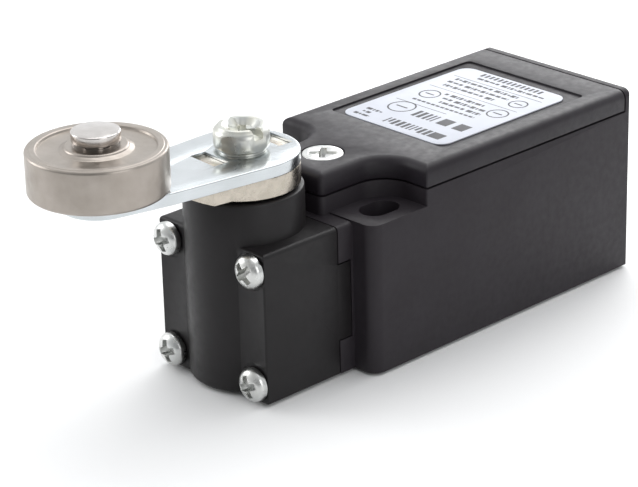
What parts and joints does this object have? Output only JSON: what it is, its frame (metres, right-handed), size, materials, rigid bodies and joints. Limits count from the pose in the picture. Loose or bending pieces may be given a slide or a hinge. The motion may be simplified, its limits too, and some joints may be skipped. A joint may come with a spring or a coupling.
{
  "type": "limit switch",
  "caption": "Position switch with a narrow plastic housing, a side rotary head and a steel roller on a flat lever, fixed through slotted ears.",
  "frame": {"origin": "on the mounting face, midway between the two fixing slots", "axes": "+Y along the housing from the operating head to the conduit entry, +Z from the mounting face to the lid, +X across the width"},
  "size_m": [0.031, 0.1024, 0.0441],
  "materials": {
    "black_plastic": "fine-textured glass-filled polymer",
    "head_plastic": "smooth satin polymer",
    "rubber": "matt nitrile rubber",
    "label": "satin printed film",
    "zinc_plate": "bright zinc plate, bluish",
    "zinc_screw": "bright zinc plate",
    "nickel_hub": "warm nickel-plated zinc die casting",
    "roller_steel": "satin stainless steel",
    "pin_steel": "satin stainless steel",
    "spring_steel": "drawn spring steel",
    "contact_brass": "bare brass with silvered tips",
    "block_plastic": "thermoset moulding",
    "carrier_plastic": "red moulding",
    "bush_plastic": "acetal"
  },
  "bodies": {
    "base": {"body_housing": "black_plastic", "head_housing": "head_plastic", "head_screw_1": "zinc_screw", "head_screw_2": "zinc_screw", "head_screw_3": "zinc_screw", "head_screw_4": "zinc_screw", "head_gasket": "rubber", "shaft_bush": "bush_plastic", "shaft_seal": "rubber", "head_return_spring": "spring_steel", "contact_block_case": "block_plastic", "contact_block_cover": "block_plastic", "fixed_contact_13": "contact_brass", "fixed_contact_14": "contact_brass", "fixed_contact_21": "contact_brass", "fixed_contact_22": "contact_brass", "clamp_plate_13": "zinc_screw", "clamp_plate_14": "zinc_screw", "clamp_plate_21": "zinc_screw", "clamp_plate_22": "zinc_screw", "terminal_screw_13": "zinc_screw", "terminal_screw_14": "zinc_screw", "terminal_screw_21": "zinc_screw", "terminal_screw_22": "zinc_screw", "contact_block_screw_1": "zinc_screw", "contact_block_screw_2": "zinc_screw", "contact_return_spring": "spring_steel"},
    "cover": {"cover_lid": "black_plastic", "lid_gasket": "rubber", "label_plate": "label", "lid_screw": "zinc_screw"},
    "lever": {"shaft": "pin_steel", "shaft_circlip": "spring_steel", "cam": "pin_steel", "lever_hub": "nickel_hub", "lever_plate": "zinc_plate", "lever_bolt": "zinc_screw", "roller_washer": "pin_steel", "roller_pin": "pin_steel"},
    "roller_wheel": {"roller": "roller_steel"},
    "piston": {"head_piston": "pin_steel"},
    "contact_carrier": {"contact_plunger": "carrier_plastic", "moving_bridge_no": "contact_brass", "moving_bridge_nc": "contact_brass", "contact_spring_no": "spring_steel", "contact_spring_nc": "spring_steel"}
  },
  "joints": [
    {"name": "lever_turn", "type": "hinge", "parent": "base", "child": "lever", "pos_m": [0, -0.01675, 0], "axis": [0, 0, 1], "range_deg": [-75, 75], "stiffness_Nm_per_rad": 0.1},
    {"name": "roller_spin", "type": "hinge", "parent": "lever", "child": "roller_wheel", "pos_m": [-0.0017, -0.04169, 0], "axis": [0, 0, 1], "continuous": true},
    {"name": "piston_push", "type": "slide", "parent": "base", "child": "piston", "axis": [0, 1, 0], "range_m": [0, 0.0026], "stiffness_N_per_m": 1500, "deforming": ["head_return_spring"]},
    {"name": "contact_push", "type": "slide", "parent": "base", "child": "contact_carrier", "axis": [0, 1, 0], "range_m": [0, 0.0026], "stiffness_N_per_m": 500, "deforming": ["contact_return_spring"]},
    {"name": "cover_lift", "type": "slide", "parent": "base", "child": "cover", "axis": [0, 0, 1], "range_m": [0, 0.04]}
  ],
  "couplings": [
    {"joint": "contact_push", "follows": "piston_push", "ratio": 1}
  ]
}
